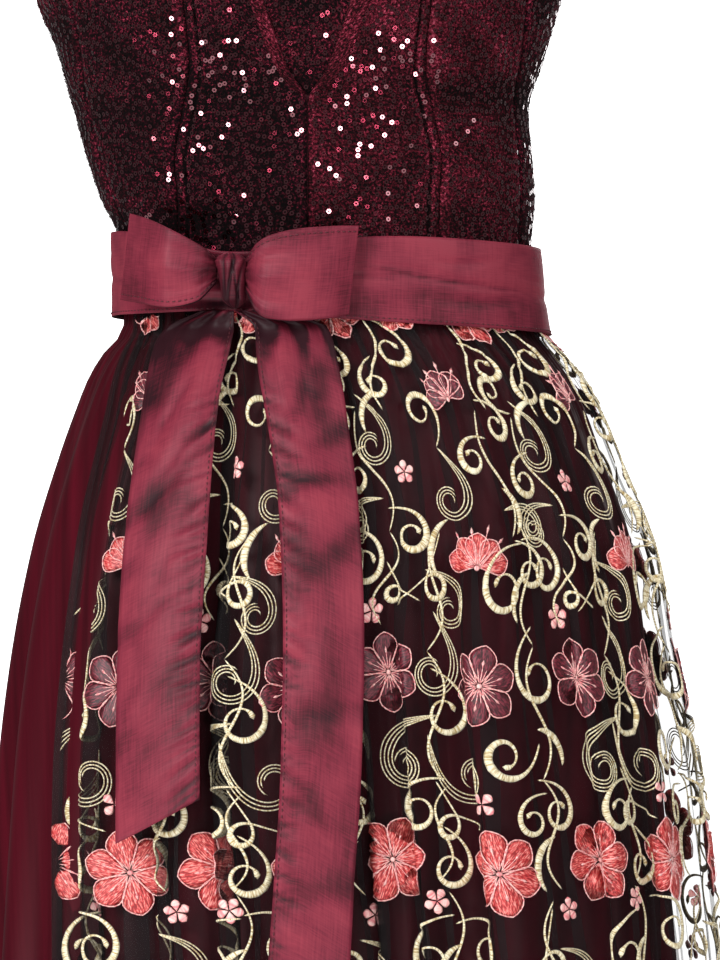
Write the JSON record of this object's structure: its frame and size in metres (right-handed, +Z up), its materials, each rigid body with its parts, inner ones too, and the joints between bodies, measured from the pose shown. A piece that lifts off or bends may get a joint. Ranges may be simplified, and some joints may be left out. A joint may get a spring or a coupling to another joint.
{
  "type": "dirndl",
  "caption": "Sleeveless velvet dirndl with a V neck, a gathered satin skirt, an embroidered net apron and a taffeta ribbon tied in a bow.",
  "frame": {"origin": "midway between the shoulders, at the height of the shoulder straps, where a wearer carries the dress", "axes": "+Z up, -Y the dress's front, +X the wearer's left"},
  "size_m": [0.5028, 0.437, 1.099],
  "materials": {
    "velvet": "dark burgundy velvet with small ring sequins in the same colour",
    "satin": "wine red satin with a soft sheen",
    "taffeta": "rose red shot taffeta with darker shading",
    "net": "fine black net with raised thread embroidery"
  },
  "bodies": {
    "root": {"bodice_front_right": "velvet", "bodice_front_left": "velvet", "bodice_side_front_right": "velvet", "bodice_side_front_left": "velvet", "bodice_side_right": "velvet", "bodice_side_left": "velvet", "bodice_side_back_right": "velvet", "bodice_side_back_left": "velvet", "bodice_back_right": "velvet", "bodice_back_left": "velvet", "bodice_insert": "velvet", "skirt_front": "satin", "skirt_back": "satin", "apron_panel": "net", "sash": "taffeta", "bow_loop_right": "taffeta", "bow_loop_left": "taffeta", "bow_knot": "taffeta", "bow_tail_right": "taffeta", "bow_tail_left": "taffeta"}
  },
  "joints": []
}
